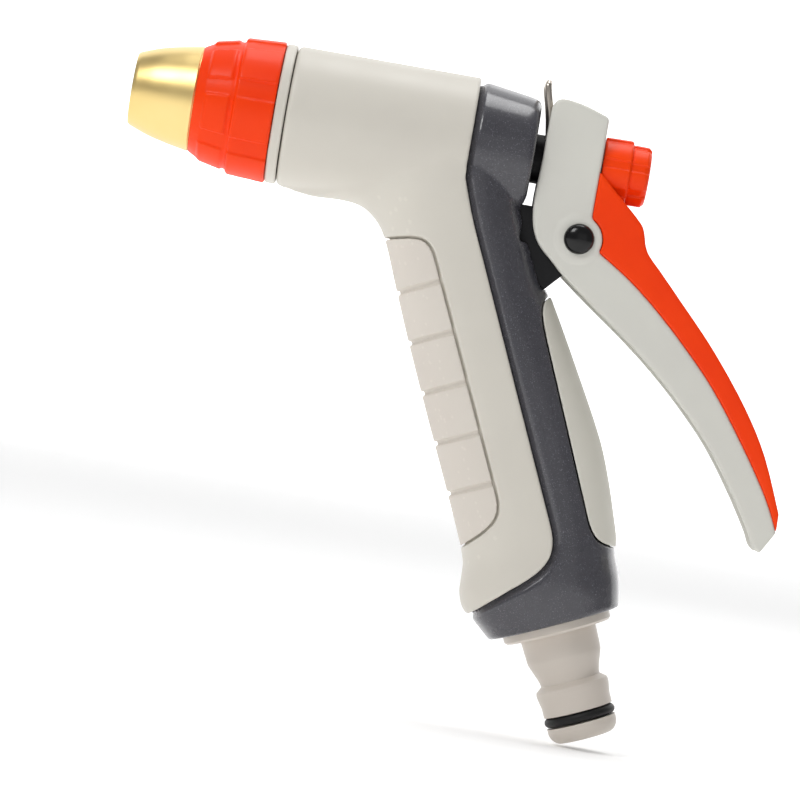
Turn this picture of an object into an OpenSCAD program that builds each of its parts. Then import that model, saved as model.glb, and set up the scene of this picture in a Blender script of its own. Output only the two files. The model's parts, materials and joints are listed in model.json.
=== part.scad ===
// Hose spray nozzle with a rear trigger, an adjustable brass tip and a push-fit hose tail.
// The barrel lies along X with the spray outlet at the origin, and the water leaves along -X.

/* [Barrel] */
// Radius of the barrel's outer shell
barrel_r = 15.7; // [15.5:0.1:18.9]
// Where the barrel shell starts, behind the spray outlet
barrel_front = 34.8; // [34.8:0.1:38]
// Where the light shell ends and the dark rear cap starts
barrel_rear = 76; // [72:0.1:78]
// Where the rear cap's flat end face stands
cap_rear = 90.3; // [88:0.1:94]
// Wall of the light shell and of the dark frame
shell_wall = 2; // [1.5:0.1:2.5]

/* [Handle] */
// Angle the handle leans back from square to the barrel
handle_lean = 24.5; // [20:0.5:28]
// Where the handle's axis meets the barrel's axis
handle_x = 67.2; // [60:0.1:70]
// Distance from the barrel's axis down to the handle's flat base
handle_len = 111; // [105:0.1:134]
// Half of the handle's width across
handle_half_w = 14.3; // [13.5:0.1:17]
// How far the dark frame sits below the light shell
frame_step = 0.4; // [0.2:0.1:0.8]

/* [Grip pads] */
// Depth of the grip pads' recesses
pad_depth = 1.3; // [0.8:0.1:1.5]
// Number of grooves across the front pad
groove_count = 5; // [3:1:5]
// Spacing of those grooves
groove_pitch = 11.45; // [9:0.05:11.5]

/* [Nozzle] */
// Radius of the brass tip's front face
tip_front_r = 8.3; // [7.5:0.1:9]
// Radius of the brass tip where it meets the sleeve
tip_rear_r = 11.8; // [11.6:0.1:12.2]
// Visible length of the brass tip
tip_len = 14.1; // [13:0.1:15]
// Radius of the spray outlet
outlet_r = 4.2; // [3.8:0.1:5]
// Radius of the sleeve's rear tier
sleeve_r = 15.9; // [15.5:0.1:18]
// Number of grooves round the sleeve and the knob
lobes = 7; // [5:1:9]

/* [Valve] */
// Radius of the valve stem
stem_r = 2.5; // [2:0.1:3]
// Radius of the barrel's water bore
bore_r = 6.6; // [6.2:0.01:7.93]
// Radius of the return spring's wire
spring_wire_r = 0.6; // [0.5:0.05:0.8]
// Turns of the return spring
spring_turns = 8; // [6:1:10]

/* [Trigger] */
// Pivot's distance behind the outlet
pivot_x = 103.3; // [102:0.1:104]
// Pivot's distance below the barrel's axis
pivot_drop = 16.3; // [16:0.1:17]
// Radius of the pivot pin
pin_r = 2.5; // [2:0.1:2.8]
// Width across the trigger lever
lever_w = 17.6; // [17:0.1:21.2]
// Thickness of the lever's two side cheeks
cheek_t = 2; // [1.6:0.1:2.2]
// Radius of the flow knob's front tier
knob_r = 7.6; // [7:0.1:7.8]
// Radius of the hold-open clip's wire
clip_wire_r = 0.75; // [0.6:0.05:0.8]

/* [Hose tail] */
// Radius of the tail's sealing land, which a hose coupling slides over
tail_r = 7.8; // [7.4:0.1:8.6]
// Radius of the tail's water bore
tail_bore_r = 5.2; // [4.5:0.1:5.4]
// Length of the tail below the handle's base
tail_len = 26.4; // [26:0.1:31.7]

/* [Hidden] */
$fn = 64;

fit = 0.05;          // radial clearance of a running fit
gap = 0.2;           // clearance between pieces that pass each other
eps = 0.01;
far = 60;            // reach of a cutting block

// Barrel and valve body
neck_r = 9.6;                        // front neck that the sleeve turns on
neck_front = 27;
spindle_r = 8;                       // thread that screws into the neck
seat_x = 40;                         // valve seat, the spindle's rear face
body_tube_r = bore_r + 3.4;          // barrel tube round the water bore
shell_bore_r = barrel_r - 2.5;       // the light shell's bore, carried on two flanges
cap_r = barrel_r - 0.9;              // dark rear cap at its front
cap_end_r = cap_r - 1.7;             // and at its rear
cap_bore_r = cap_end_r - 1.7;
cap_wall = 2;
body_rear = cap_rear - cap_wall;     // rear end of the valve body's tube
gland_r = stem_r + 3.1;              // gland nut's thread
gland_front = body_rear - 9;
gland_boss_r = gland_r - 0.1;        // gland nut's round boss outside the cap
gland_rear = cap_rear + 4.7;
o_ring_r = 0.95;                     // section of the stem's two seals

// Tip, spindle and valve plug
tip_bore_r = 7.4;                    // tip's bore, which slides on the spindle
spindle_front = 8.5;
skirt_r = tip_rear_r - 0.5;          // tip's skirt inside the sleeve
skirt_rear = 25;
key_x = tip_len + 7;                 // tip's three keys, which the sleeve turns it by
key_w = 3;
key_h = 1;
seal_r = 0.9;
seal_depth = 2 * seal_r + fit;
o_ring_x = 18;
plug_r = bore_r - 0.5;
plug_rear = seat_x + 7;
stem_front_r = stem_r - 0.9;

clip_t = 1.1;                        // retaining clip's groove on the neck, and its depth
clip_depth = 0.6;
lip_x = neck_front + 0.4 + clip_t + 0.2;   // sleeve's inner lip, which runs behind that clip
ring_front = barrel_front - 2.5;
ring_t = 2.3;
sleeve_rear = ring_front - 0.2;
pad_border = 0.5;                    // groove left round each grip pad
recess_at = -80.6;                   // angle of the first recess round the sleeve

// Handle
base_q = handle_len;                 // where the flat base stands
tube_r = 8;
tube_bore_r = 5;
socket_r = handle_half_w - 2.5;      // round socket that the hose tail screws into
socket_bore_r = socket_r - 2.8;
socket_len = 13;
washer_t = 1.2;
washer_r = socket_r - 1;
screen_t = 1.2;
screen_hole_r = 0.45;
tail_seal_q = base_q + tail_len - 5;
tail_seal_r = 1.05;
tail_seal_depth = 1.9;

// Trigger
pivot_z = -pivot_drop;
lug_half_w = lever_w / 2 - cheek_t - gap;
lug_r = 4.4;
boss_r = lug_r + 0.8;
boss_h = 0.4;
cap_t = 1.2;
stem_rise = 2.1;                     // how far the stem climbs in the lever as it is squeezed
washer_knob_r = 5.8;
lever_face = pivot_x + 2.1;          // rear face of the lever's head
knob_front = lever_face + 0.3;
knob_step = knob_front + 6.3;        // where the knob's smaller rear tier starts
knob_rear = knob_front + 10.8;
knob_rear_r = knob_r - 0.8;
insert_r = stem_r + 1.7;
clip_foot = [94.3, -4];              // hinge of the hold-open clip in the lever's cheeks
clip_top = [cap_rear + 0.7, barrel_r + 1.15];
clip_half_w = lever_w / 2 - cheek_t - clip_wire_r - 0.3;
gland_hex_r = clip_half_w - clip_wire_r - 0.4;   // gland nut's hexagon, across its corners

// Stations down the handle: distance below the barrel's axis, front and rear of the side outline
stations = [
    [4.5, -29, 22.5], [8, -21.5, 21], [13, -16.9, 19], [19, -16, 16.8],
    [30, -16.1, 16.5], [42, -16.4, 17.6], [57, -16.4, 19],
    [74, -16.4, 19.9], [85, -16.4, 19.4], [base_q - 19, -16.6, 18.5],
    [base_q - 14, -18.6, 17.6], [base_q - 11, -19.4, 16.9], [base_q - 7, -18.6, 16.7],
    [base_q, -15.6, 15.4]];
neck_q = 13;                         // the handle is narrower above here
foot_q = base_q - 19;                // and its foot flares below here
neck_half_w = handle_half_w - 3;
foot_half_w = handle_half_w + 0.3;
floor_t = 2.5;

function to_handle(x, z) = [
    (x - handle_x) * cos(handle_lean) + z * sin(handle_lean),
    z * cos(handle_lean) - (x - handle_x) * sin(handle_lean)];

// Points of a cubic curve from a to d
function curve(a, b, c, d, steps = 8) = [for (i = [0:steps]) let (t = i / steps, u = 1 - t)
    u * u * u * a + 3 * u * u * t * b + 3 * u * t * t * c + t * t * t * d];

// A rounded oval from front to rear, w to each side
function oval(front, rear, w, n = 40, power = 2.5) = [for (i = [0:n - 1])
    let (a = 360 * (i + 0.5) / n, c = cos(a), s = sin(a))
    [(front + rear) / 2 + (rear - front) / 2 * sign(c) * pow(abs(c), 2 / power),
        w * sign(s) * pow(abs(s), 2 / power)]];

// Extrudes a side outline, drawn as x and z, to both sides of the middle plane
module side(w) rotate([90, 0, 0]) linear_extrude(w, center = true) children();

// Turns a profile, drawn as radius and distance along, round the barrel's axis
module turned() rotate([0, 90, 0]) rotate_extrude($fn = 96) children();

module along_x(x, r, len, n = 64) translate([x, 0, 0]) rotate([0, 90, 0])
    cylinder(r = r, h = len, $fn = n);

module in_handle() translate([handle_x, 0, 0]) rotate([0, -handle_lean, 0]) children();

// Round and along the handle, from q downwards to q + len
module down_handle(q, r, len, n = 64) in_handle() translate([0, 0, -q - len])
    cylinder(r = r, h = len, $fn = n);

module handle_prism(top, bottom, front, rear, w) translate([0, 0, -bottom])
    linear_extrude(bottom - top) polygon(oval(front, rear, w));

// The handle's outer form, taken in by inset all round and stopped short at its foot
module handle_form(inset = 0, stop = 0) in_handle() intersection() {
    side(far) polygon(concat(
        [for (s = stations) [s[1] + inset, -s[0]]],
        [for (i = [len(stations) - 1:-1:0]) [stations[i][2] - inset, -stations[i][0]]]));
    union() {
        handle_prism(4, neck_q + 2, -35, 28, neck_half_w - inset);
        handle_prism(neck_q, foot_q + 2, -16.5 + inset, 20 - inset, handle_half_w - inset);
        handle_prism(foot_q, base_q - stop, -19.5 + inset, 18.8 - inset, foot_half_w - inset);
    }
}

// What is in front of the seam between the light shell and the dark frame
module before_seam() in_handle() side(far) polygon(concat(
    [to_handle(20, 30), to_handle(barrel_rear, 30), to_handle(barrel_rear, -6.6), [4.3, -19.5]],
    curve([4, 22 - base_q], [4, 15.5 - base_q], [2, 12 - base_q], [-8, 9.9 - base_q]),
    [[-40, 0.5 - base_q]]));

module front_pad_side(inset = 0) in_handle() side(far) polygon(concat(
    [[-40, -14 - inset]],
    curve([-15, -18.4 - inset], [-8, -21 - inset], [-5.6 - inset, -20 - inset], [-5.6 - inset, -27]),
    curve([-5.6 - inset, 29 - base_q], [-5.6 - inset, 24 - base_q + inset],
        [-9, 23.5 - base_q + inset], [-16, 21.4 - base_q + inset]),
    [[-40, 14 - base_q + inset]]));

module rear_pad_side(inset = 0) in_handle() side(far) polygon(concat(
    curve([40, -37 - inset], [17, -40 - inset], [13.6 + inset, -41 - inset], [13.3 + inset, -50]),
    curve([12.2 + inset, 19 - base_q], [12.2 + inset, 16 - base_q + inset],
        [13.5 + inset, 15 - base_q + inset], [17, 12.9 - base_q + inset]),
    [[40, 11 - base_q + inset]]));

// Everything more than depth inside the handle's skin is left out
module skin(depth) difference() {
    in_handle() translate([-far / 2, -far / 2, -base_q]) cube([far, far, base_q - neck_q]);
    handle_form(depth);
}

module lug_side() polygon([[body_rear - 6.5, -8], [body_rear, -8], [body_rear, -10.8], [98, -10.8],
    [pivot_x + 1.5, pivot_z + 4], [pivot_x + 1.4, pivot_z - 3.9], [101.3, -24.6], [97.7, -28.5],
    [body_rear - 0.5, -22], [body_rear - 6.5, -16]]);

module across_pivot(r, w) translate([pivot_x, 0, pivot_z]) rotate([90, 0, 0])
    cylinder(r = r, h = w, center = true);

module valve_body() color("#1d1e21") difference() {
    union() {
        along_x(neck_front, neck_r, barrel_front - neck_front);
        along_x(barrel_front, body_tube_r, body_rear - barrel_front);
        along_x(barrel_front, shell_bore_r, 3);
        along_x(barrel_rear - 4, shell_bore_r, 3.5);
        along_x(body_rear - 4, cap_bore_r, 4);
        down_handle(0, tube_r, base_q);
        down_handle(base_q - socket_len - 2, socket_r, socket_len + 2);
        side(2 * lug_half_w) lug_side();
        across_pivot(lug_r, 2 * lug_half_w);
    }
    along_x(seat_x - eps, bore_r, gland_front - 1 - seat_x);
    along_x(gland_front - 2, gland_r, body_rear - gland_front + 3);
    along_x(neck_front - 1, spindle_r, seat_x - neck_front + 1);
    difference() {
        along_x(neck_front + 0.4, neck_r + 1, clip_t);
        along_x(neck_front, neck_r - clip_depth, 3);
    }
    down_handle(0, tube_bore_r, base_q - socket_len + 1);
    down_handle(base_q - socket_len, socket_bore_r, socket_len + 1);
    down_handle(base_q - washer_t, washer_r, washer_t + 1);
    across_pivot(pin_r, far);
}

module front_shell() color("#e3e2de") difference() {
    union() {
        along_x(barrel_front, barrel_r, barrel_rear - barrel_front, 96);
        intersection() {
            handle_form();
            before_seam();
        }
    }
    along_x(barrel_front - 1, shell_bore_r, far, 96);
    handle_form(shell_wall);
    intersection() {
        skin(pad_depth);
        front_pad_side();
    }
}

module front_grip_pad() color("#dad3ca") difference() {
    intersection() {
        handle_form();
        front_pad_side(pad_border);
    }
    handle_form(pad_depth);
    intersection() {
        skin(pad_depth - 0.6);
        union() for (i = [0:groove_count - 1])
            in_handle() translate([-far / 2, -far / 2, -31.8 - i * groove_pitch]) cube([far, far, 1.2]);
    }
}

module handle_frame() color("#54545b") difference() {
    union() {
        handle_form(frame_step);
        along_x_cone(barrel_rear - 1, cap_r, cap_end_r, cap_rear - barrel_rear + 1);
    }
    handle_form(frame_step + shell_wall, floor_t);
    before_seam();
    along_x(barrel_rear - 2, cap_bore_r, body_rear - barrel_rear + 2);
    along_x(barrel_rear, gland_r + 0.4, far);
    side(2 * lug_half_w) lug_side();
    down_handle(base_q - 10, socket_r, 11);
    intersection() {
        skin(pad_depth + frame_step);
        rear_pad_side();
    }
    translate([cap_rear, -far / 2, -20]) cube([far, far, far]);
}

module rear_grip_pad() color("#d3d4cb") difference() {
    intersection() {
        handle_form();
        rear_pad_side(pad_border);
    }
    handle_form(pad_depth + frame_step);
}

module barrel_ring() color("#dcdad4") difference() {
    along_x(ring_front, barrel_r, ring_t, 96);
    along_x(ring_front - 1, neck_r, ring_t + 2);
}

module nozzle_spindle() color("#d9b45c") difference() {
    union() {
        along_x(neck_front, spindle_r, seat_x - neck_front);
        along_x(spindle_front, tip_bore_r - fit, neck_front - spindle_front);
        along_x(2.5, 1.9, spindle_front - 2);
        translate([0.7, 0, 0]) rotate([0, 90, 0]) cylinder(r1 = outlet_r - 0.4, r2 = outlet_r - 1, h = 2.4);
    }
    along_x(spindle_front + 2.6, 5.2, far);
    for (a = [45:90:315]) rotate([a, 0, 0]) translate([spindle_front - 1, 0, 3.9])
        rotate([0, 90, 0]) cylinder(r = 1.4, h = 5, $fn = 24);
    turned() translate([tip_bore_r, o_ring_x]) square([2 * seal_depth, 2], center = true);
}

module spindle_o_ring() color("#151515") turned()
    translate([tip_bore_r - fit - seal_r, o_ring_x]) circle(r = seal_r, $fn = 24);

module sleeve_clip() color("#9a9a9c") difference() {
    along_x(neck_front + 0.4 + fit, neck_r + 0.9, clip_t - 2 * fit);
    along_x(neck_front, neck_r - clip_depth, 3);
    translate([neck_front, -1.5, 0]) cube([3, 3, far]);
}

// Raised pads round a core, from x to x + len, with chamfered ends and a recess at the bottom
module lobed(x, r1, r2, len, depth, chamfer = 0.4, inset = 0.15) {
    along_x_cone(x, r1 - depth, r2 - depth, len);
    for (i = [0:lobes - 1]) rotate([0, 90, 0]) rotate([0, 0, (i + 0.17) * 360 / lobes])
        rotate_extrude(angle = 0.66 * 360 / lobes, $fn = 96) polygon([[r1 - depth - 1, x + inset],
            [r1 - chamfer, x + inset], [r1, x + chamfer], [r2, x + len - chamfer],
            [r2 - chamfer, x + len - inset], [r2 - depth - 1, x + len - inset]]);
}

module along_x_cone(x, r1, r2, len) translate([x, 0, 0]) rotate([0, 90, 0])
    cylinder(r1 = r1, r2 = r2, h = len, $fn = 96);

module nozzle_sleeve() color("#ff5a0a") rotate([recess_at, 0, 0]) difference() {
    union() {
        along_x_cone(tip_len + 0.1, tip_rear_r, sleeve_r - 3.1, 2.5);
        lobed(16.4, sleeve_r - 2.4, sleeve_r - 1.3, 5.7, 0.5);
        along_x(21, sleeve_r - 1.9, 2.7, 96);
        lobed(23.2, sleeve_r - 0.5, sleeve_r, sleeve_rear - 23.2, 0.5);
    }
    along_x(tip_len, skirt_r + gap, lip_x - tip_len);
    along_x(tip_len, neck_r + fit, far);
    for (a = [0:120:240]) rotate([a, 0, 0])
        translate([key_x - 4, -key_w / 2 - gap, 0])
            cube([lip_x - key_x + 3, key_w + 2 * gap, skirt_r + key_h + gap]);
}

module brass_tip() color("#e0ba66") rotate([recess_at, 0, 0]) difference() {
    union() {
        turned() polygon(concat([[0, 0], [tip_front_r - 0.5, 0], [tip_front_r, 0.5]],
            curve([tip_front_r + 0.15, 0.8], [tip_front_r + 1.7, 5], [tip_rear_r - 0.9, 9],
                [tip_rear_r, tip_len - 0.2]),
            [[skirt_r, tip_len], [skirt_r, skirt_rear], [0, skirt_rear]]));
        for (a = [0:120:240]) rotate([a, 0, 0])
            translate([key_x, -key_w / 2, skirt_r - 1]) cube([skirt_rear - key_x - 0.5, key_w, 1 + key_h]);
    }
    turned() polygon([[0, -1], [outlet_r + 1.1, -1], [outlet_r + 1.1, 0], [outlet_r, 1], [outlet_r, 2.2],
        [tip_bore_r, 6.5], [tip_bore_r, far], [0, far]]);
}

module gland_nut() color("#1b1b1d") difference() {
    union() {
        along_x(gland_front, gland_r, body_rear - gland_front + cap_wall);
        along_x(cap_rear, gland_boss_r, 1.9);
        along_x(cap_rear + 1.8, gland_hex_r, gland_rear - cap_rear - 1.8, 6);
    }
    along_x(gland_front - 1, stem_r + fit, far);
    along_x(gland_front - 1, stem_r + 2 * o_ring_r + 3 * fit, 1 + 4 * o_ring_r + 0.6);
}

module gland_o_rings() color("#151515") for (i = [0, 1])
    turned() translate([stem_r + fit + o_ring_r, gland_front + 0.2 + o_ring_r + i * (2 * o_ring_r + fit)])
        circle(r = o_ring_r, $fn = 24);

module valve_stem() color("#b9bbbd") union() {
    along_x(plug_rear, stem_r, knob_rear - 3.4 - plug_rear);
    along_x(seat_x - 3.2, stem_front_r, plug_rear - seat_x + 3.2);
}

module valve_plug() color("#c9a24e") difference() {
    along_x(seat_x + 2.1, plug_r, plug_rear - seat_x - 2.1);
    along_x(seat_x, stem_front_r, far);
}

module seat_washer() color("#242424") difference() {
    along_x(seat_x + 0.1, plug_r, 2);
    along_x(seat_x, stem_front_r, 3);
}

module plug_nut() color("#c9a24e") difference() {
    along_x(seat_x - 2.4, 3.2, 2.5, 6);
    along_x(seat_x - 3, stem_front_r, 4);
}

// A round wire wound at radius r from x to x + len
module coil(x, r, wire, turns, len, steps = 20, sides = 8) {
    n = turns * steps;
    points = [for (i = [0:n]) let (a = 360 * i / steps) for (j = [0:sides - 1])
        let (b = 360 * j / sides, q = r + wire * cos(b))
        [x + len * i / n + wire * sin(b), q * cos(a), q * sin(a)]];
    polyhedron(points, concat(
        [for (i = [0:n - 1]) for (j = [0:sides - 1]) let (k = (j + 1) % sides)
            [i * sides + j, (i + 1) * sides + j, (i + 1) * sides + k, i * sides + k]],
        [[for (j = [0:sides - 1]) j]], [[for (j = [sides - 1:-1:0]) n * sides + j]]));
}

module return_spring() color("#a7a9ab") coil(plug_rear + spring_wire_r + fit,
    bore_r - spring_wire_r - 0.15, spring_wire_r, spring_turns,
    gland_front - 2 - plug_rear - 2 * spring_wire_r - 2 * fit);

lever_front = [[92.4, 0.2], [92.1, -11.3], [98.3, -22.3], [101.3, -25], [108.5, -30.3],
    [115.9, -35.5], [123.5, -41.3], [131.2, -48.1], [139.1, -56.2], [146, -65.4], [151.3, -73.6],
    [152.8, -76.6], [154.7, -78.1]];
lever_seam = [[157.7, -72.8], [153.8, -65.3], [146.7, -54.8], [138.3, -43.9], [130.3, -35.6],
    [122.5, -28.5], [115.7, -23.2], [108.7, -18.8]];
lever_back = [[lever_face, -0.8], [110.6, -5.5], [115.2, -9.5], [117.1, -11.8], [118.7, -16.4],
    [127.1, -25.1], [136.7, -35.1], [145.9, -46.5], [152.2, -56.5], [157.5, -68.6]];
lever_top = [[lever_face, 11.1], [96, 13.7], [93.3, 13.3]];
spine = [-1.4, -1.7];                // the lever's spine, measured square to its seam
head_wall = 2.4;                     // the lever's rear wall at its head

module trigger_frame() color("#d8d8d1") difference() {
    union() {
        side(lever_w) polygon(concat(lever_front, lever_seam, [[lever_face, -14]], lever_top));
        across_pivot(boss_r, lever_w + 2 * boss_h);
    }
    side(lever_w - 2 * cheek_t) polygon(concat([for (p = lever_seam) p + spine],
        [[lever_face - head_wall, -12], [lever_face - head_wall, 9.2], [96, 11.3], [80, 11.3],
            [80, -70], [150, -85]]));
    across_pivot(boss_r, lever_w - 2 * cheek_t);
    across_pivot(pin_r + fit, far);
    side(2 * (stem_r + 0.4)) polygon([[lever_face - 4, 0], [lever_face + 1, 0],
        [lever_face + 1, stem_rise], [lever_face - 4, stem_rise]]);
    for (z = [0, stem_rise]) translate([0, 0, z]) along_x(lever_face - 4, stem_r + 0.4, 5);
    translate([clip_foot.x, 0, clip_foot.y]) rotate([90, 0, 0])
        cylinder(r = clip_wire_r + fit, h = lever_w - 1.4, center = true, $fn = 32);
}

module trigger_inlay() color("#ff5209") difference() {
    side(lever_w) polygon(concat(lever_back, lever_seam, [[lever_face, -14]]));
    across_pivot(boss_r, far);
    along_x(lever_face - 1, knob_r + 0.4, far, 96);
    translate([lever_face - 1, -knob_r - 0.4, 0]) cube([far, 2 * knob_r + 0.8, far]);
}

module pivot_pin() color("#161618") {
    across_pivot(pin_r, lever_w + 2 * boss_h + 0.4 + 2 * cap_t - 0.6);
    translate([pivot_x, -lever_w / 2 - boss_h - 0.2, pivot_z]) rotate([90, 0, 0]) rotate_extrude()
        polygon(concat([[0, 0], [3.4, 0]], curve([3.4, 0.3], [3.1, 1], [1.8, 1.3], [0, 1.35])));
}

module pin_cap() color("#161618") translate([pivot_x, lever_w / 2 + boss_h + 0.2, pivot_z])
    rotate([-90, 0, 0]) difference() {
        cylinder(r = 3.4, h = cap_t);
        translate([0, 0, -1]) cylinder(r = pin_r, h = cap_t + 0.7);
    }

module wire(a, b) translate(a) rotate([0, acos((b - a).z / norm(b - a)), atan2((b - a).y, (b - a).x)])
    cylinder(r = clip_wire_r, h = norm(b - a), $fn = 32);

module hold_open_clip() color("#8f8a84") {
    for (s = [-1, 1]) {
        foot = [clip_foot.x, s * clip_half_w, clip_foot.y];
        top = [clip_top.x, s * clip_half_w, clip_top.y];
        wire(foot, top);
        wire(foot, [clip_foot.x, s * (lever_w / 2 - 0.9), clip_foot.y]);
        for (p = [foot, top]) translate(p) sphere(r = clip_wire_r + 0.03, $fn = 32);
    }
    wire([clip_top.x, -clip_half_w, clip_top.y], [clip_top.x, clip_half_w, clip_top.y]);
}

module knob_washer() color("#b9bbbd") difference() {
    along_x(knob_front, washer_knob_r, 0.9);
    along_x(knob_front - 1, stem_r + fit, 3);
}

module flow_knob() color("#ff5a0a") rotate([recess_at, 0, 0]) difference() {
    union() {
        lobed(knob_front, knob_r - 0.15, knob_r, knob_step - knob_front, 0.4, 0.3);
        lobed(knob_step - eps, knob_rear_r, knob_rear_r, knob_rear - knob_step, 0.4, 0.8);
    }
    along_x(knob_front - 1, washer_knob_r + gap, 2.1);
    along_x(knob_front, insert_r + fit, 7.1);
    along_x(knob_front, stem_r + gap, 9.3);
}

module knob_insert() color("#c9a24e") difference() {
    along_x(knob_front + 1.1, insert_r, 5.9);
    along_x(knob_front, stem_r + fit, far);
}

module hose_tail() color("#d9d8d2") difference() {
    in_handle() rotate([180, 0, 0]) rotate_extrude($fn = 96) polygon(concat(
        [[0, base_q - socket_len + screen_t], [socket_bore_r, base_q - socket_len + screen_t],
            [socket_bore_r, base_q], [12.2, base_q], [12.2, base_q + 1.6], [11.6, base_q + 2.1],
            [8.6, base_q + 2.3], [8.4, base_q + 7.3]],
        curve([8.3, base_q + 8], [7.4, base_q + 10.6], [6.8, base_q + 11.8], [6.7, base_q + 13.2]),
        [[tail_r + 0.4, base_q + 14.2], [tail_r + 0.4, base_q + 15.6], [tail_r, base_q + 18],
            [tail_r, base_q + tail_len - 2.6]],
        curve([tail_r, base_q + tail_len - 2.4], [tail_r - 0.3, base_q + tail_len - 1],
            [tail_r - 1.2, base_q + tail_len], [tail_bore_r + 0.3, base_q + tail_len], 5),
        [[0, base_q + tail_len]]));
    down_handle(base_q - socket_len, tail_bore_r, far);
    in_handle() rotate([180, 0, 0]) rotate_extrude($fn = 96)
        translate([tail_r - tail_seal_depth, tail_seal_q - 1.3]) square([5, 2.6]);
}

module tail_o_ring() color("#121212") in_handle() rotate([180, 0, 0]) rotate_extrude($fn = 96)
    translate([tail_r - tail_seal_depth + tail_seal_r, tail_seal_q]) circle(r = tail_seal_r, $fn = 32);

module tail_washer() color("#2a2a2a") difference() {
    down_handle(base_q - washer_t, washer_r, washer_t - fit);
    down_handle(base_q - 5, socket_bore_r + fit, 10);
}

module inlet_screen() color("#b9bbbd") difference() {
    down_handle(base_q - socket_len, socket_bore_r, screen_t);
    for (i = [-3:3]) for (j = [-3:3]) if (norm([i, j]) < 3.7)
        in_handle() translate([1.35 * i, 1.35 * j, -base_q + socket_len - screen_t - 1])
            cylinder(r = screen_hole_r, h = screen_t + 2, $fn = 16);
}

valve_body();
front_shell();
handle_frame();
front_grip_pad();
rear_grip_pad();
barrel_ring();
nozzle_spindle();
spindle_o_ring();
sleeve_clip();
nozzle_sleeve();
brass_tip();
gland_nut();
gland_o_rings();
valve_stem();
valve_plug();
seat_washer();
plug_nut();
return_spring();
trigger_frame();
trigger_inlay();
pivot_pin();
pin_cap();
hold_open_clip();
knob_washer();
flow_knob();
knob_insert();
hose_tail();
tail_o_ring();
tail_washer();
inlet_screen();
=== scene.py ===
import json
import math

import bpy
from mathutils import Matrix, Vector


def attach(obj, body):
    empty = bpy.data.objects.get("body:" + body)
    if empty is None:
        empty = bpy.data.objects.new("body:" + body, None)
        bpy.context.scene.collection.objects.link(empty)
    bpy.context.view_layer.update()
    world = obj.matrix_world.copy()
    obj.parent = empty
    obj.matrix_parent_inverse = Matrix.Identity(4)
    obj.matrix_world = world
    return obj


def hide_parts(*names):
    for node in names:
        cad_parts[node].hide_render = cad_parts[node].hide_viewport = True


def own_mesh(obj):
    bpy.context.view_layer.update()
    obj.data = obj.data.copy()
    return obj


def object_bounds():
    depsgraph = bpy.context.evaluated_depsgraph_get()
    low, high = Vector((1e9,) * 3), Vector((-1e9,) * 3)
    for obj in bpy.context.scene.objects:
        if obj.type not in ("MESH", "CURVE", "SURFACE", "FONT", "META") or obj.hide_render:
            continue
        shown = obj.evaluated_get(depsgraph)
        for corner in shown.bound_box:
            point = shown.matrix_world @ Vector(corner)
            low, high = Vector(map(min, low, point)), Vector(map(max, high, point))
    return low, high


MM = 0.001
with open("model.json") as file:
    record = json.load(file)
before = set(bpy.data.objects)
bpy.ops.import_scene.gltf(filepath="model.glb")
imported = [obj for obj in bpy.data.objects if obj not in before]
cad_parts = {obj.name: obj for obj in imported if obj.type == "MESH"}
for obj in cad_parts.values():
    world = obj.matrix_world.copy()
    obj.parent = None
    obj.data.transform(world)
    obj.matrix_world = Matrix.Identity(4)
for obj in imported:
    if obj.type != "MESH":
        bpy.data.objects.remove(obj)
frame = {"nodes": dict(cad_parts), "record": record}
cad_low, cad_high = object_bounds()
nodes = frame["nodes"]
bpy.ops.object.select_all(action="DESELECT")

# ---------------------------------------------------------------- camera
EYE = Vector((70.5, -1070.0, -58.2)) * MM
camera = bpy.data.objects.new("side_camera", bpy.data.cameras.new("side_camera"))
bpy.context.scene.collection.objects.link(camera)
camera.data.lens = 216
camera.data.sensor_width = 36
camera.data.clip_start = 0.05
camera.data.clip_end = 20
camera.matrix_world = (Matrix.Translation(EYE) @ Matrix.Rotation(math.radians(90), 4, "X")
                       @ Matrix.Rotation(math.radians(10), 4, "Z"))
bpy.context.scene.camera = camera

# ---------------------------------------------------------------- sizes, in millimetres
LEAN = math.radians(24.5)          # the handle leans back from square to the barrel
HANDLE_X = 67.2                    # where its axis meets the barrel's
BASE = 111.0                       # its flat base, along that axis
BARREL_R = 15.6
BARREL_FRONT = 34.8
SEAM_X = 76.0                      # light shell ends, dark frame starts
CAP_REAR = 90.3
PIVOT = (103.3, -16.3)
LEVER_HALF = 8.75
CHEEK = 2.0
KNOB_FRONT = 105.7
KNOB_STEP = 112.0
KNOB_REAR = 116.4
LOBES = 7
FIRST_RECESS = -80.6               # turn of the first recess round the sleeve and the knob

# Front and rear edges and half width of the handle, each against the distance down its axis
FRONT_EDGE = [(1, -36), (5.4, -29.1), (7.5, -23.6), (10, -19.1), (14, -16.4), (18.4, -15.5), (30, -15.8),
              (42, -16.1), (57, -16.2), (85, -16.2), (92.6, -16.6), (96, -17.9), (99, -19.1), (102.7, -19.3),
              (105.5, -18), (BASE, -15.6)]
REAR_EDGE = [(1, 24), (5.4, 22.5), (10, 20.5), (14, 18.8), (18.4, 17), (24, 16.5), (30, 16.5), (38, 16.7),
             (42, 17.3), (57.5, 18.7), (74, 19.8), (83, 19.4), (92, 18.4), (96.2, 17.8), (99, 16.9),
             (105, 16.3), (BASE, 14.7)]
HALF_WIDTH = [(1, 15.2), (8, 15), (13, 14.8), (19, 14.6), (30, 14.4), (42, 14.3), (92, 14.3), (103, 14.6),
              (BASE, 13.7)]


def on_handle(p, q):
    """A point p behind the handle's axis and q down it, as x and z."""
    return (HANDLE_X + p * math.cos(LEAN) + q * math.sin(LEAN),
            p * math.sin(LEAN) - q * math.cos(LEAN))


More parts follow.
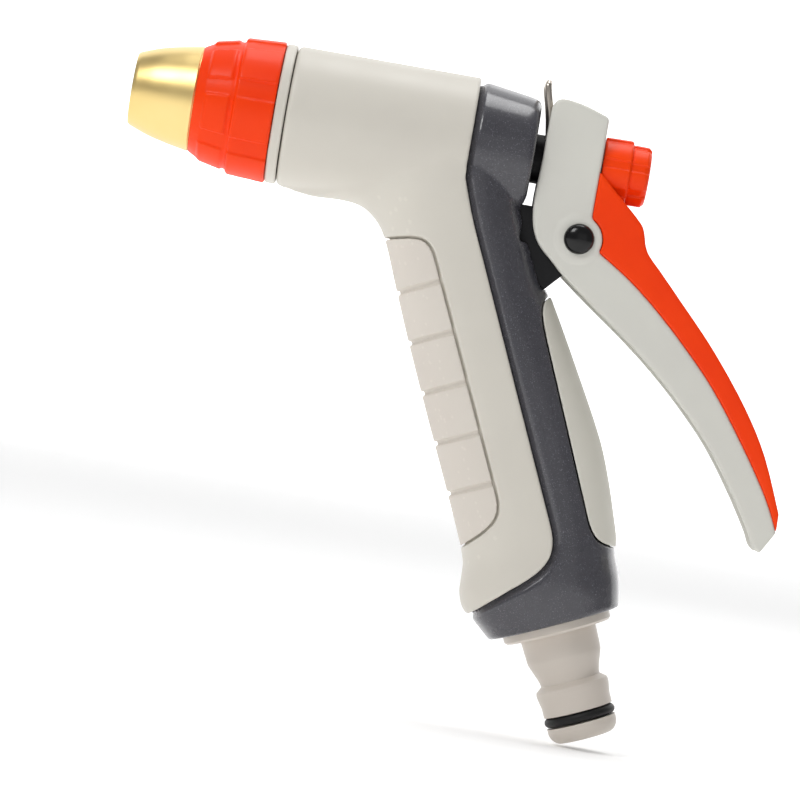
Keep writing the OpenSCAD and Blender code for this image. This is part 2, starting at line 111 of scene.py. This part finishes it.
def at(table, q):
    """The smooth curve through a table's points, read at q."""
    if q <= table[0][0]:
        return table[0][1]
    for i in range(len(table) - 1):
        (a, u), (b, v) = table[i], table[i + 1]
        if q <= b:
            before = table[max(i - 1, 0)]
            after = table[min(i + 2, len(table) - 1)]
            rise_a = (v - before[1]) / (b - before[0])
            rise_b = (after[1] - u) / (after[0] - a)
            t, w = (q - a) / (b - a), b - a
            return ((2 * t**3 - 3 * t**2 + 1) * u + (t**3 - 2 * t**2 + t) * w * rise_a
                    + (3 * t**2 - 2 * t**3) * v + (t**3 - t**2) * w * rise_b)
    return table[-1][1]


def rounded(points, steps=5):
    """A smooth open line through the points."""
    out = []
    for i in range(len(points) - 1):
        a, b, c, d = (Vector(points[min(max(k, 0), len(points) - 1)]) for k in (i - 1, i, i + 1, i + 2))
        for s in range(steps):
            t = s / steps
            out.append(tuple(0.5 * (2 * b + (c - a) * t + (2 * a - 5 * b + 4 * c - d) * t * t
                                    + (3 * b - a - 3 * c + d) * t**3)))
    return out + [tuple(points[-1])]


def bezier(a, b, c, d, steps=8):
    a, b, c, d = map(Vector, (a, b, c, d))
    curve = []
    for i in range(steps + 1):
        t = i / steps
        u = 1 - t
        curve.append(tuple(u**3 * a + 3 * u * u * t * b + 3 * u * t * t * c + t**3 * d))
    return curve


def shifted(line, by):
    """An open line moved to its left by a distance."""
    out = []
    for i, here in enumerate(line):
        along = Vector(line[min(i + 1, len(line) - 1)]) - Vector(line[max(i - 1, 0)])
        along.normalize()
        out.append((here[0] - along.y * by, here[1] + along.x * by))
    return out


# ---------------------------------------------------------------- workshop
def pick(obj):
    bpy.ops.object.select_all(action="DESELECT")
    obj.select_set(True)
    bpy.context.view_layer.objects.active = obj
    return obj


def edit_all():
    bpy.ops.object.mode_set(mode="EDIT")
    bpy.ops.mesh.select_all(action="SELECT")


def close_up():
    """Closes open ends, welds doubles and turns every face outwards."""
    bpy.ops.mesh.select_all(action="SELECT")
    bpy.ops.mesh.remove_doubles(threshold=0.002 * MM)
    bpy.ops.mesh.dissolve_degenerate(threshold=0.001 * MM)
    bpy.ops.mesh.select_all(action="SELECT")
    bpy.ops.mesh.fill_holes(sides=0)
    bpy.ops.mesh.select_all(action="SELECT")
    bpy.ops.mesh.normals_make_consistent(inside=False)
    bpy.ops.object.mode_set(mode="OBJECT")


def slab(outline, half):
    """A side outline, given as x and z, made a solid to both sides of the middle plane."""
    bpy.ops.object.select_all(action="DESELECT")
    bpy.ops.mesh.primitive_circle_add(vertices=len(outline), radius=MM, fill_type="NGON")
    obj = bpy.context.active_object
    for v, (x, z) in zip(obj.data.vertices, outline):
        v.co = (x * MM, -half * MM, z * MM)
    edit_all()
    bpy.ops.mesh.extrude_region_move(TRANSFORM_OT_translate={"value": (0, 2 * half * MM, 0)})
    close_up()
    return obj


def turned(section, turn=360.0, start=0.0, steps=96):
    """A closed section, given as x and radius, spun round the barrel's axis."""
    bpy.ops.object.select_all(action="DESELECT")
    bpy.ops.mesh.primitive_circle_add(vertices=len(section), radius=MM, fill_type="NOTHING")
    obj = bpy.context.active_object
    a = math.radians(start)
    for v, (x, r) in zip(obj.data.vertices, section):
        v.co = (x * MM, -r * math.sin(a) * MM, r * math.cos(a) * MM)
    edit_all()
    bpy.ops.mesh.spin(steps=steps, angle=math.radians(turn), center=(0, 0, 0), axis=(1, 0, 0))
    close_up()
    return obj


def down_handle(obj):
    """Moves a piece turned round X so that it is round the handle's axis instead."""
    down, out = Vector(on_handle(0, 1)) - Vector(on_handle(0, 0)), Vector(on_handle(1, 0)) - Vector(on_handle(0, 0))
    pose = Matrix(((down.x, 0, out.x, HANDLE_X * MM), (0, 1, 0, 0), (down.y, 0, out.y, 0), (0, 0, 0, 1)))
    obj.matrix_world = pose
    pick(obj)
    bpy.ops.object.transform_apply(location=True, rotation=True, scale=True)
    edit_all()
    bpy.ops.mesh.normals_make_consistent(inside=False)
    bpy.ops.object.mode_set(mode="OBJECT")
    return obj


def skin(rows, columns, place):
    """A closed form laid over a grid, with place(row, turn) giving each point in millimetres."""
    bpy.ops.object.select_all(action="DESELECT")
    bpy.ops.mesh.primitive_grid_add(x_subdivisions=columns, y_subdivisions=rows, size=2)
    obj = bpy.context.active_object
    wide = columns + 1
    for i, v in enumerate(obj.data.vertices):
        row, col = divmod(i, wide)
        v.co = Vector(place(row / rows, 2 * math.pi * (col % columns) / columns)) * MM
    edit_all()
    close_up()
    return obj


def change(obj, kind, **settings):
    pick(obj)
    modifier = obj.modifiers.new(kind.lower(), kind)
    for key, value in settings.items():
        setattr(modifier, key, value)
    bpy.ops.object.modifier_apply(modifier=modifier.name)
    return obj


def cut(obj, tool, how="DIFFERENCE", keep=False):
    change(obj, "BOOLEAN", operation=how, object=tool, solver="EXACT")
    if not keep:
        bpy.data.objects.remove(tool)
    return obj


def joined(first, *others):
    bpy.ops.object.select_all(action="DESELECT")
    for obj in (first, *others):
        obj.select_set(True)
    bpy.context.view_layer.objects.active = first
    bpy.ops.object.join()
    return first


def moulded(obj, grain, passes, factor=0.5):
    """Makes overlapping forms one skin with softened edges."""
    change(obj, "REMESH", mode="VOXEL", voxel_size=grain * MM)
    if passes:
        change(obj, "SMOOTH", factor=factor, iterations=passes)
    return obj


def copied(obj):
    twin = obj.copy()
    twin.data = obj.data.copy()
    bpy.context.scene.collection.objects.link(twin)
    return twin


def finished(obj, name, body, slot, *replaced, angle=35):
    pick(obj)
    bpy.ops.object.shade_smooth_by_angle(angle=math.radians(angle))
    obj.name = name
    obj.data.name = name
    obj.data.materials.clear()
    obj.data.materials.append(MATERIALS[slot])
    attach(obj, body)
    if replaced:
        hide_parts(*replaced)
    return obj


# ---------------------------------------------------------------- finishes
def surface(name, colour, other, rough, grain, bump, metal=0.0, coat=0.0, speckle=None, rings=False, spec=0.5):
    """A moulded, turned or drawn surface with its own colour drift, gloss drift and fine relief."""
    mat = bpy.data.materials.new(name)
    mat.use_nodes = True
    tree = mat.node_tree
    links, make = tree.links, tree.nodes.new
    shader = tree.nodes["Principled BSDF"]
    shader.inputs["Metallic"].default_value = metal
    shader.inputs["Coat Weight"].default_value = coat
    shader.inputs["Coat Roughness"].default_value = 0.12
    shader.inputs["Specular IOR Level"].default_value = spec
    place = make("ShaderNodeTexCoord")

    def noise(scale, detail=3.0):
        n = make("ShaderNodeTexNoise")
        n.inputs["Scale"].default_value = scale
        n.inputs["Detail"].default_value = detail
        links.new(place.outputs["Object"], n.inputs["Vector"])
        return n

    def spread(source, low, high):
        m = make("ShaderNodeMapRange")
        m.inputs["From Min"].default_value = 0.3
        m.inputs["From Max"].default_value = 0.7
        m.inputs["To Min"].default_value = low
        m.inputs["To Max"].default_value = high
        links.new(source, m.inputs["Value"])
        return m.outputs["Result"]

    drift = make("ShaderNodeMix")
    drift.data_type = "RGBA"
    drift.inputs[6].default_value = (*colour, 1)
    drift.inputs[7].default_value = (*other, 1)
    links.new(spread(noise(45).outputs["Fac"], 0, 1), drift.inputs[0])
    tint = drift.outputs[2]
    if speckle:
        flakes = make("ShaderNodeMix")
        flakes.data_type = "RGBA"
        flakes.inputs[7].default_value = (*speckle, 1)
        points = make("ShaderNodeMapRange")
        points.inputs["From Min"].default_value = 0.62
        points.inputs["From Max"].default_value = 0.75
        links.new(noise(4200, 1).outputs["Fac"], points.inputs["Value"])
        links.new(points.outputs["Result"], flakes.inputs[0])
        links.new(tint, flakes.inputs[6])
        tint = flakes.outputs[2]
    worn = make("ShaderNodeNewGeometry")
    edge = make("ShaderNodeMapRange")
    edge.inputs["From Min"].default_value = 0.52
    edge.inputs["From Max"].default_value = 0.62
    edge.inputs["To Max"].default_value = 0.18
    links.new(worn.outputs["Pointiness"], edge.inputs["Value"])
    rubbed = make("ShaderNodeMix")
    rubbed.data_type = "RGBA"
    rubbed.inputs[7].default_value = (*(min(1, c * 1.25 + 0.02) for c in colour), 1)
    links.new(edge.outputs["Result"], rubbed.inputs[0])
    links.new(tint, rubbed.inputs[6])
    links.new(rubbed.outputs[2], shader.inputs["Base Color"])
    links.new(spread(noise(120).outputs["Fac"], rough - 0.05, rough + 0.05), shader.inputs["Roughness"])
    relief = make("ShaderNodeBump")
    relief.inputs["Strength"].default_value = bump
    relief.inputs["Distance"].default_value = 0.03 * MM
    if rings:
        lines = make("ShaderNodeTexWave")
        lines.bands_direction = "X"
        lines.inputs["Scale"].default_value = 900
        lines.inputs["Distortion"].default_value = 0.6
        links.new(place.outputs["Object"], lines.inputs["Vector"])
        links.new(lines.outputs["Fac"], relief.inputs["Height"])
    else:
        links.new(noise(grain, 2).outputs["Fac"], relief.inputs["Height"])
    links.new(relief.outputs["Normal"], shader.inputs["Normal"])
    return mat


MATERIALS = {
    "light_shell": surface("light_shell", (0.68, 0.65, 0.58), (0.65, 0.62, 0.555), 0.42, 1800, 0.25, spec=0.35),
    "light_lever": surface("light_lever", (0.70, 0.695, 0.635), (0.67, 0.66, 0.61), 0.38, 1800, 0.2, spec=0.35),
    "light_tail": surface("light_tail", (0.64, 0.58, 0.52), (0.60, 0.55, 0.49), 0.42, 1800, 0.2, spec=0.35),
    "soft_grip": surface("soft_grip", (0.70, 0.655, 0.59), (0.67, 0.62, 0.56), 0.62, 2600, 0.5, spec=0.3),
    "soft_grip_rear": surface("soft_grip_rear", (0.70, 0.68, 0.61), (0.67, 0.65, 0.58), 0.58, 2600, 0.45, spec=0.3),
    "dark_frame": surface("dark_frame", (0.055, 0.054, 0.064), (0.046, 0.045, 0.055), 0.28, 1500, 0.12,
                          coat=0.5, speckle=(0.17, 0.17, 0.20)),
    "orange": surface("orange", (1.0, 0.058, 0.0), (0.93, 0.042, 0.0), 0.40, 1800, 0.12, coat=0.05, spec=0.18),
    "brass": surface("brass", (0.92, 0.72, 0.33), (0.88, 0.66, 0.27), 0.34, 1, 0.08, metal=1.0, rings=True),
    "steel": surface("steel", (0.56, 0.51, 0.45), (0.46, 0.42, 0.37), 0.30, 1500, 0.25, metal=1.0),
    "black_plastic": surface("black_plastic", (0.007, 0.007, 0.008), (0.005, 0.005, 0.006), 0.45, 1600, 0.3, spec=0.2),
    "black_pin": surface("black_pin", (0.004, 0.004, 0.005), (0.003, 0.003, 0.003), 0.2, 1200, 0.05, coat=0.2, spec=0.3),
    "rubber": surface("rubber", (0.006, 0.006, 0.006), (0.010, 0.010, 0.010), 0.5, 2200, 0.4, spec=0.3)}


# ---------------------------------------------------------------- handle and barrel forms
def handle_form(inset=0.0, top=1.0, bottom=BASE, rows=120, columns=96):
    """The handle's outer form, taken in all round by inset."""
    def place(row, turn):
        q = top + (bottom - top) * row
        front, rear = at(FRONT_EDGE, q) + inset, at(REAR_EDGE, q) - inset
        half = at(HALF_WIDTH, q) - inset
        c, s = math.cos(turn), math.sin(turn)
        full = min(max((q - 3) / 14, 0), 1)
        squared = 2 / (1.25 + 1.15 * full if c < 0 else 1.9 + 0.5 * full)
        middle = (max(front, -16) + rear) / 2
        p = middle + ((middle - front) if c < 0 else (rear - middle)) * math.copysign(abs(c)**squared, c)
        x, z = on_handle(p, q)
        return x, half * math.copysign(abs(s)**squared, s), z
    return skin(rows, columns, place)


def seam_line(shift=0.0):
    """The seam between the light shell and the dark frame, from above the barrel to the handle's foot."""
    line = [(SEAM_X, 24), (SEAM_X, 15), (SEAM_X, 4), (SEAM_X, -5)] + rounded(
        [(76.2, -7.5), (79.2, -15.8), (83.6, -25.6), on_handle(4.2, 45), on_handle(4.0, 89)], 6)
    line += [on_handle(p, q) for p, q in bezier((4, 89.3), (3.9, 95.5), (2, 98.5), (-8, 100.9), 12)[1:]]
    line.append(on_handle(-28, 107))
    return shifted(line, shift)


def before_seam(shift=0.0, half=24):
    return slab(seam_line(shift) + [(-10, -120), (-10, 24)], half)


def pad_outline(front, inset):
    if front:
        edge = ([(-34, 14.5 + inset)] + bezier((-15, 18.6 + inset), (-8, 20.4 + inset), (-5.5 - inset, 20 + inset),
                                               (-5.5 - inset, 27)))
        edge += bezier((-5.5 - inset, 80), (-5.5 - inset, 86 - inset), (-9, 87 - inset), (-16, 89.5 - inset))
        edge.append((-34, 97 - inset))
    else:
        edge = ([(34, 38 + inset)] + bezier((17, 40.2 + inset), (14.6, 41 + inset), (13.6 + inset, 42 + inset),
                                            (13.3 + inset, 50)))
        edge += bezier((12.2 + inset, 90), (12.2 + inset, 95.5 - inset), (13.4 + inset, 96.2 - inset),
                       (17, 98.2 - inset))
        edge.append((34, 100 - inset))
    return [on_handle(p, q) for p, q in edge]


def barrel(radius, front, rear):
    return turned([(front, 0), (front, radius - 0.35), (front + 0.35, radius), (rear, radius), (rear, 0)])


def build_shell():
    shell = moulded(joined(barrel(BARREL_R, BARREL_FRONT, SEAM_X + 4), handle_form(0, 1)), 0.5, 12)
    cut(shell, before_seam(), "INTERSECT")
    cut(shell, handle_form(2.0, 1.5, BASE - 2, 60, 64))
    cut(shell, turned([(BARREL_FRONT - 1, 0), (BARREL_FRONT - 1, 13.2), (100, 13.2), (100, 0)]))
    recess = slab(pad_outline(True, 0), 24)
    cut(recess, handle_form(1.25), "DIFFERENCE")
    cut(shell, recess)
    moulded(shell, 0.42, 2, 0.45)
    finished(shell, "front_shell_moulding", "body", "light_shell", "front_shell", angle=50)


def build_front_pad():
    pad = handle_form(0.05, 12, 95)
    cut(pad, slab(pad_outline(True, 0.55), 24), "INTERSECT")
    for i in range(5):
        q = 31.2 + 11.5 * i
        groove = slab([on_handle(-30, q - 0.55), on_handle(0, q - 0.55), on_handle(0, q + 0.55),
                       on_handle(-30, q + 0.55)], 24)
        cut(groove, handle_form(0.75, 12, 95), "DIFFERENCE")
        cut(pad, groove)
    cut(pad, handle_form(1.2, 12, 95, 60, 64))
    moulded(pad, 0.26, 3, 0.5)
    finished(pad, "front_grip", "body", "soft_grip", "front_grip_pad", angle=60)


def build_rear_pad():
    pad = handle_form(0.0, 30, 104)
    cut(pad, slab(pad_outline(False, 0.3), 24), "INTERSECT")
    cut(pad, handle_form(1.6, 30, 104, 60, 64))
    moulded(pad, 0.3, 3, 0.5)
    finished(pad, "rear_grip", "body", "soft_grip_rear", "rear_grip_pad", angle=60)


def build_frame():
    low = handle_form(1.3, 1)
    high = handle_form(0.25, 1)
    cut(high, before_seam(1.25))
    cap = turned([(SEAM_X - 2, 0), (SEAM_X - 2, 13.9), (77.0, 13.9), (77.4, 14.85), (88.2, 13.3), (89.6, 12.9),
                  (CAP_REAR, 12), (CAP_REAR, 0)])
    body = moulded(joined(low, high, cap), 0.45, 3)
    cut(body, before_seam())
    behind_cap = slab([(CAP_REAR, 30), (160, 30), (160, -19), (CAP_REAR, -19)], 24)
    cut(body, behind_cap)
    cut(body, handle_form(2.6, 3, BASE - 2.5, 60, 64))
    cut(body, turned([(60, 0), (60, 11.4), (88.3, 11.4), (88.3, 5.9), (100, 5.9), (100, 0)]))
    lug = slab([(81.8, -8), (100, -8), (106, -12), (106, -22), (101, -25), (97.7, -28.8), (87.8, -22.3),
                (81.8, -16)], 6.7)
    cut(body, lug)
    seat = slab(pad_outline(False, 0), 24)
    cut(seat, handle_form(1.7, 30, 104), "DIFFERENCE")
    cut(body, seat)
    cut(body, down_handle(turned([(100, 0), (100, 11.85), (115, 11.85), (115, 0)])))
    moulded(body, 0.42, 2, 0.45)
    finished(body, "dark_frame_moulding", "body", "dark_frame", "handle_frame", angle=50)


def lobed(tiers, core, grain, share=0.68):
    """Raised pads round a turned core. Each tier is its ends, its radii at those ends and its chamfer."""
    whole = turned(core)
    for front, rear, front_r, rear_r, chamfer in tiers:
        for i in range(LOBES):
            pad = turned([(front, front_r - 2), (front, front_r - chamfer), (front + chamfer, front_r),
                          (rear - chamfer, rear_r), (rear, rear_r - chamfer), (rear, rear_r - 2)],
                         360 * share / LOBES, FIRST_RECESS + 90 + (i + (1 - share) / 2) * 360 / LOBES, 14)
            whole = joined(whole, pad)
    return moulded(whole, grain, 2, 0.45)


def build_sleeve():
    core = [(14.2, 9.9), (14.2, 11.7), (16.4, 12.9), (22, 14.2), (22.1, 14.2), (23.1, 14.3), (23.3, 14.9),
            (31.9, 15.35), (32.1, 15.2), (32.1, 9.9)]
    sleeve = lobed([(16.4, 22.1, 13.5, 14.6, 0.35), (23.15, 32.1, 15.4, 15.88, 0.35)], core, 0.26)
    finished(sleeve, "twist_sleeve", "sleeve", "orange", "nozzle_sleeve", angle=60)


def build_tip():
    outside = rounded([(0.5, 8.25), (4.6, 9.75), (9.1, 10.85), (13.9, 11.75)], 6)
    section = ([(6.5, 7.4), (2.2, 4.2), (1, 4.2), (0.3, 4.8), (0, 5.3), (0, 7.9)] + outside
               + [(14.1, 11.6), (14.1, 11.3), (25, 11.3), (25, 7.4)])
    finished(turned(section, steps=128), "spray_tip", "tip", "brass", "brass_tip")


def build_ring():
    section = [(32.3, 9.7), (32.3, 15.3), (32.6, 15.6), (34.3, 15.6), (34.6, 15.3), (34.6, 9.7)]
    finished(turned(section, steps=128), "barrel_band", "body", "light_shell", "barrel_ring")


def build_knob():
    core = [(KNOB_FRONT, 2.7), (KNOB_FRONT, 7.0), (KNOB_STEP - 0.1, 7.15), (KNOB_STEP, 6.35),
            (KNOB_REAR - 1.2, 6.35), (KNOB_REAR - 0.3, 5.9), (KNOB_REAR, 5.2), (KNOB_REAR, 0),
            (KNOB_REAR - 1.6, 0), (KNOB_REAR - 1.6, 2.7)]
    knob = lobed([(KNOB_FRONT, KNOB_STEP, 7.5, 7.6, 0.3), (KNOB_STEP - 0.3, KNOB_REAR - 0.1, 6.8, 6.75, 0.7)],
                 core, 0.2)
    finished(knob, "flow_dial", "knob", "orange", "flow_knob", angle=60)


LEVER_FRONT = [(92.3, 6), (92.3, 0.2), (92.1, -11.3), (94, -18), (98.3, -22.3), (101.3, -25), (108.5, -30.3),
               (115.9, -35.5), (123.5, -41.3), (131.2, -48.1), (139.1, -56.2), (146, -65.4), (151.3, -73.6),
               (152.8, -76.6), (154.7, -78)]
LEVER_SEAM = [(157.6, -72.8), (153.8, -65.3), (146.7, -54.8), (138.3, -43.9), (130.3, -35.6), (122.5, -28.5),
              (115.7, -23.2), (108.7, -18.8)]
INLAY_BACK = [(105.4, -0.8), (110.6, -5.5), (115.2, -9.5), (117.1, -11.8), (118.7, -16.4), (122.6, -20.5),
              (127.1, -25.1), (136.7, -35.1), (145.9, -46.5), (152.2, -56.5), (157.5, -68.6)]


def taper(obj, start=112, end=158, least=0.86):
    """Narrows the lever towards its free end."""
    for v in obj.data.vertices:
        share = min(max((v.co.x / MM - start) / (end - start), 0), 1)
        v.co.y *= 1 - (1 - least) * share


def round_pivot(radius, start, end, steps=12):
    """An arc round the pivot, from one bearing to another."""
    out = []
    for i in range(steps + 1):
        a = math.radians(start + (end - start) * i / steps)
        out.append((PIVOT[0] + radius * math.cos(a), PIVOT[1] + radius * math.sin(a)))
    return out


def across(radius, half):
    bar = turned([(-half, 0), (-half, radius), (half, radius), (half, 0)], steps=64)
    bar.matrix_world = Matrix.Translation((PIVOT[0] * MM, 0, PIVOT[1] * MM)) @ Matrix.Rotation(math.pi / 2, 4, "Z")
    pick(bar)
    bpy.ops.object.transform_apply(location=True, rotation=True, scale=True)
    return bar


def build_lever():
    outline = (rounded(LEVER_FRONT, 4) + rounded(LEVER_SEAM, 4) + round_pivot(5.2, -25, 66)
               + [(105.4, -10.8), (105.4, 11)] + rounded([(105, 11.4), (100, 13), (96, 13.7), (93.6, 13.4),
                                                          (92.4, 11.5)], 4))
    lever = joined(slab(outline, LEVER_HALF), across(5.2, LEVER_HALF + 0.4))
    moulded(lever, 0.4, 3)
    spine = [(x - 1.4, z - 1.7) for x, z in rounded(LEVER_SEAM, 3)]
    channel = slab(spine + [(103, -12), (103, 9.2), (96, 11.3), (80, 11.3), (80, -70), (150, -85)],
                   LEVER_HALF - CHEEK)
    cut(lever, channel)
    cut(lever, across(5.2, LEVER_HALF - CHEEK))
    slot = slab([(101, -2.9), (107, -2.9), (107, 5), (101, 5)], 2.9)
    cut(lever, slot)
    moulded(lever, 0.34, 3, 0.5)
    taper(lever)
    finished(lever, "lever_moulding", "trigger", "light_lever", "trigger_frame", angle=60)


def build_inlay():
    outline = rounded(INLAY_BACK, 4) + rounded(LEVER_SEAM, 4) + round_pivot(5.3, -25, 66) + [(105.4, -10.8)]
    inlay = slab(outline, LEVER_HALF)
    cut(inlay, across(5.3, LEVER_HALF + 2))
    cut(inlay, turned([(104, 0), (104, 8.1), (140, 8.1), (140, 0)]))
    moulded(inlay, 0.34, 3, 0.5)
    taper(inlay)
    finished(inlay, "lever_inlay", "trigger", "orange", "trigger_inlay", angle=60)


def pin_end(side):
    """The domed head on one side, or the pressed cap on the other."""
    base = LEVER_HALF + 0.4
    section = [(base - 1, 0), (base - 1, 3.4)] + bezier((base + 0.2, 3.4), (base + 1.3, 3.2), (base + 1.9, 1.8),
                                                       (base + 1.95, 0), 12)
    head = turned(section, steps=64)
    head.matrix_world = (Matrix.Translation((PIVOT[0] * MM, 0, PIVOT[1] * MM))
                         @ Matrix.Rotation(side * math.pi / 2, 4, "Z"))
    pick(head)
    bpy.ops.object.transform_apply(location=True, rotation=True, scale=True)
    return head


def build_pin():
    finished(joined(pin_end(-1), across(2.5, LEVER_HALF - 0.2)), "pivot_pin_head", "body", "black_pin", "pivot_pin")
    finished(pin_end(1), "pivot_pin_cap", "body", "black_pin", "pin_cap")


def build_clip():
    """A round wire from one cheek up, over the cap and down to the other cheek."""
    foot, knee, top, side = (94.3, -4.0), (92.6, 8.5), (91.0, 15.4), 5.75
    half = [(foot[0], 8.0, foot[1]), (foot[0], side + 0.5, foot[1]), (foot[0] - 0.1, side, foot[1] + 1),
            (knee[0], side, knee[1]), (top[0], side, top[1]), (90.9, side - 0.7, 16.6), (90.9, side - 2, 16.85)]
    route = half + [(x, -y, z) for x, y, z in reversed(half)]
    route = rounded(route, 6)

    def place(row, turn):
        i = row * (len(route) - 1)
        here = Vector(route[int(round(i))])
        near, past = Vector(route[max(int(round(i)) - 1, 0)]), Vector(route[min(int(round(i)) + 1, len(route) - 1)])
        along = (past - near).normalized()
        square = along.cross(Vector((1, 0, 0))).normalized()
        other = along.cross(square).normalized()
        return here + 0.75 * (math.cos(turn) * square + math.sin(turn) * other)
    finished(skin(len(route) - 1, 20, place), "hold_open_wire", "clip", "steel", "hold_open_clip", angle=60)


def build_tail():
    outside = [(BASE - 1.0, 11.6), (BASE, 12.2), (BASE + 1.6, 12.2), (BASE + 2.1, 11.7), (BASE + 2.3, 8.6),
               (BASE + 7.3, 8.4)]
    outside += bezier((BASE + 8, 8.3), (BASE + 10.6, 7.4), (BASE + 11.8, 6.8), (BASE + 13.2, 6.7))
    outside += [(BASE + 14.3, 8.1), (BASE + 14.9, 8.25), (BASE + 15.6, 8.2), (BASE + 18, 7.8), (BASE + 20.1, 7.8),
                (BASE + 20.1, 6.0), (BASE + 22.7, 6.0), (BASE + 22.7, 7.8), (BASE + 23.8, 7.8)]
    outside += bezier((BASE + 24, 7.8), (BASE + 25.4, 7.5), (BASE + 26.4, 6.6), (BASE + 26.4, 5.5), 6)
    section = [(BASE - 11.6, 5.2), (BASE - 11.6, 8.9), (BASE - 1.0, 8.9)] + outside + [(BASE + 26.4, 5.2)]
    tail = down_handle(turned(section, steps=128))
    finished(tail, "push_on_tail", "body", "light_tail", "hose_tail", angle=30)
    seal = [(BASE + 21.4 + 1.1 * math.cos(a), 6.95 + 1.1 * math.sin(a))
            for a in (math.radians(30 * i) for i in range(12))]
    finished(down_handle(turned(seal, steps=96)), "tail_seal", "body", "rubber", "tail_o_ring", angle=60)


SPRING_FRONT, SPRING_REAR, SPRING_R, SPRING_WIRE, SPRING_TURNS = 47.65, 76.65, 5.85, 0.6, 8


def build_spring():
    def place(row, turn):
        a = 2 * math.pi * SPRING_TURNS * row
        r = SPRING_R + SPRING_WIRE * math.cos(turn)
        x = SPRING_FRONT + (SPRING_REAR - SPRING_FRONT) * row + SPRING_WIRE * math.sin(turn)
        return x, r * math.cos(a), r * math.sin(a)
    coil = skin(SPRING_TURNS * 32, 12, place)
    finished(coil, "return_coil", "stem", "steel", "return_spring", angle=60)
    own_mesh(coil)


build_shell()
build_spring()
build_front_pad()
build_rear_pad()
build_frame()
build_sleeve()
build_tip()
build_ring()
build_knob()
build_lever()
build_inlay()
build_pin()
build_clip()
build_tail()

for part in frame["record"]["subparts"]:
    node = nodes[part["node"]]
    node.data.materials.clear()
    node.data.materials.append(MATERIALS[part["material_slot"]])

# ---------------------------------------------------------------- floor, walls of light
pale = surface("pale_floor", (0.93, 0.93, 0.93), (0.91, 0.91, 0.91), 0.8, 60, 0.02)
pale.node_tree.nodes["Principled BSDF"].inputs["Emission Color"].default_value = (1, 1, 1, 1)
pale.node_tree.nodes["Principled BSDF"].inputs["Emission Strength"].default_value = 0.2
bpy.ops.object.select_all(action="DESELECT")
bpy.ops.mesh.primitive_plane_add(size=8, location=(0, 0, 0))
floor = bpy.context.active_object
floor.name = "pale_floor"
for v in floor.data.vertices:
    v.co.z = cad_low.z - 0.0005
floor.data.materials.append(pale)
bpy.ops.object.select_all(action="DESELECT")
bpy.ops.mesh.primitive_plane_add(size=8, location=(0, 0, 0))
wall = bpy.context.active_object
wall.name = "pale_wall"
for v in wall.data.vertices:
    v.co = (v.co.x, 2.2, v.co.y)
lit = pale.copy()
lit.name = "pale_wall"
lit.node_tree.nodes["Principled BSDF"].inputs["Emission Strength"].default_value = 0.85
wall.data.materials.append(lit)


def soft_light(name, place, aim, size, watts):
    light = bpy.data.objects.new(name, bpy.data.lights.new(name, "AREA"))
    bpy.context.scene.collection.objects.link(light)
    light.data.size = size
    light.data.energy = watts
    light.location = place
    light.rotation_euler = (Vector(aim) - Vector(place)).to_track_quat("-Z", "Y").to_euler()


middle = (0.075, 0, -0.05)
soft_light("key_light", (-0.5, -0.7, 0.75), middle, 0.45, 5.0)
soft_light("front_fill", (0.4, -1.2, 0.1), middle, 0.9, 0.6)
soft_light("top_light", (0.1, 0.1, 0.8), middle, 0.45, 3.2)
soft_light("back_fill", (0.5, 0.8, 0.4), middle, 0.7, 0.7)

world = bpy.data.worlds.new("white_room")
bpy.context.scene.world = world
world.use_nodes = True
world.node_tree.nodes["Background"].inputs["Color"].default_value = (1, 1, 1, 1)
world.node_tree.nodes["Background"].inputs["Strength"].default_value = 0.27
bpy.context.scene.view_settings.view_transform = "Standard"
